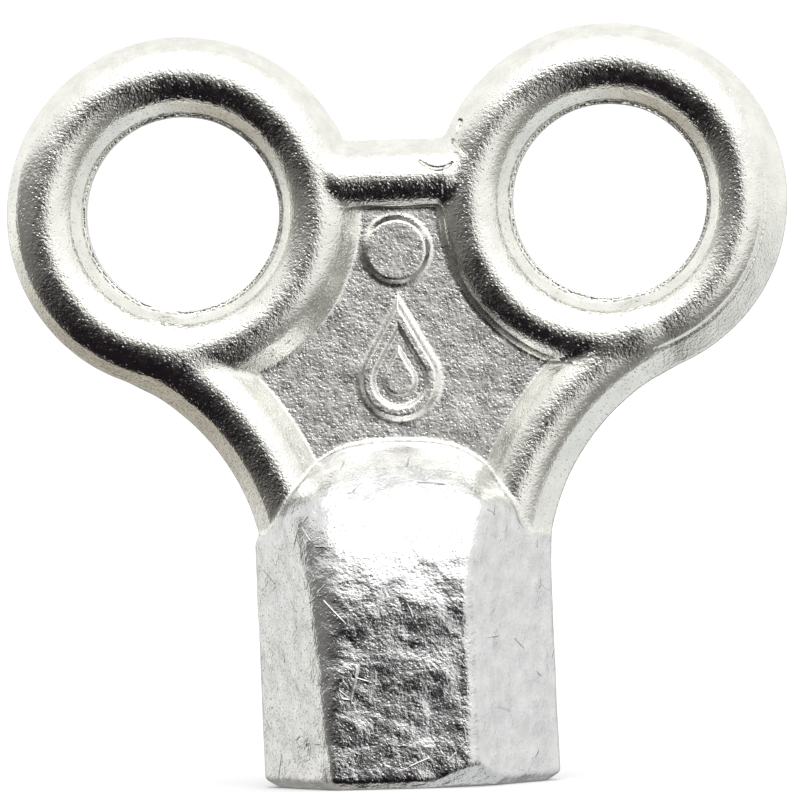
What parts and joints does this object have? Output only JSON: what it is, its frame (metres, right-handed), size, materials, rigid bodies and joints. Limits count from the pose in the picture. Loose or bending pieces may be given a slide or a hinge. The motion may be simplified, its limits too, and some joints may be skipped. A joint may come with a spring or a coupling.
{
  "type": "radiator bleed key",
  "caption": "Small cast butterfly key with finger rings, a flat web, side ribs and a six-sided hub with a blind square socket, for turning a radiator's air bleed valve.",
  "frame": {"origin": "middle of the hub's mouth, on the plane of the mouth face, under the middle of the part", "axes": "+Z from the socket's mouth up the hub's axis to the rings, +X from the left ring to the right ring, -Y out of the marked front of the web"},
  "size_m": [0.0308, 0.0102, 0.0295],
  "materials": {
    "bead_zinc": "bright as-cast zinc alloy, worn smooth on the beads",
    "web_zinc": "grainy as-cast zinc alloy, satin",
    "hub_zinc": "as-cast zinc alloy, fine grain and small scratches"
  },
  "bodies": {
    "root": {"socket_hub": "hub_zinc", "web_panel": "web_zinc", "ring_left": "bead_zinc", "ring_right": "bead_zinc", "rib_left": "bead_zinc", "rib_right": "bead_zinc", "crossbar": "bead_zinc", "drop_relief": "web_zinc", "ejector_pad": "web_zinc"}
  },
  "joints": []
}
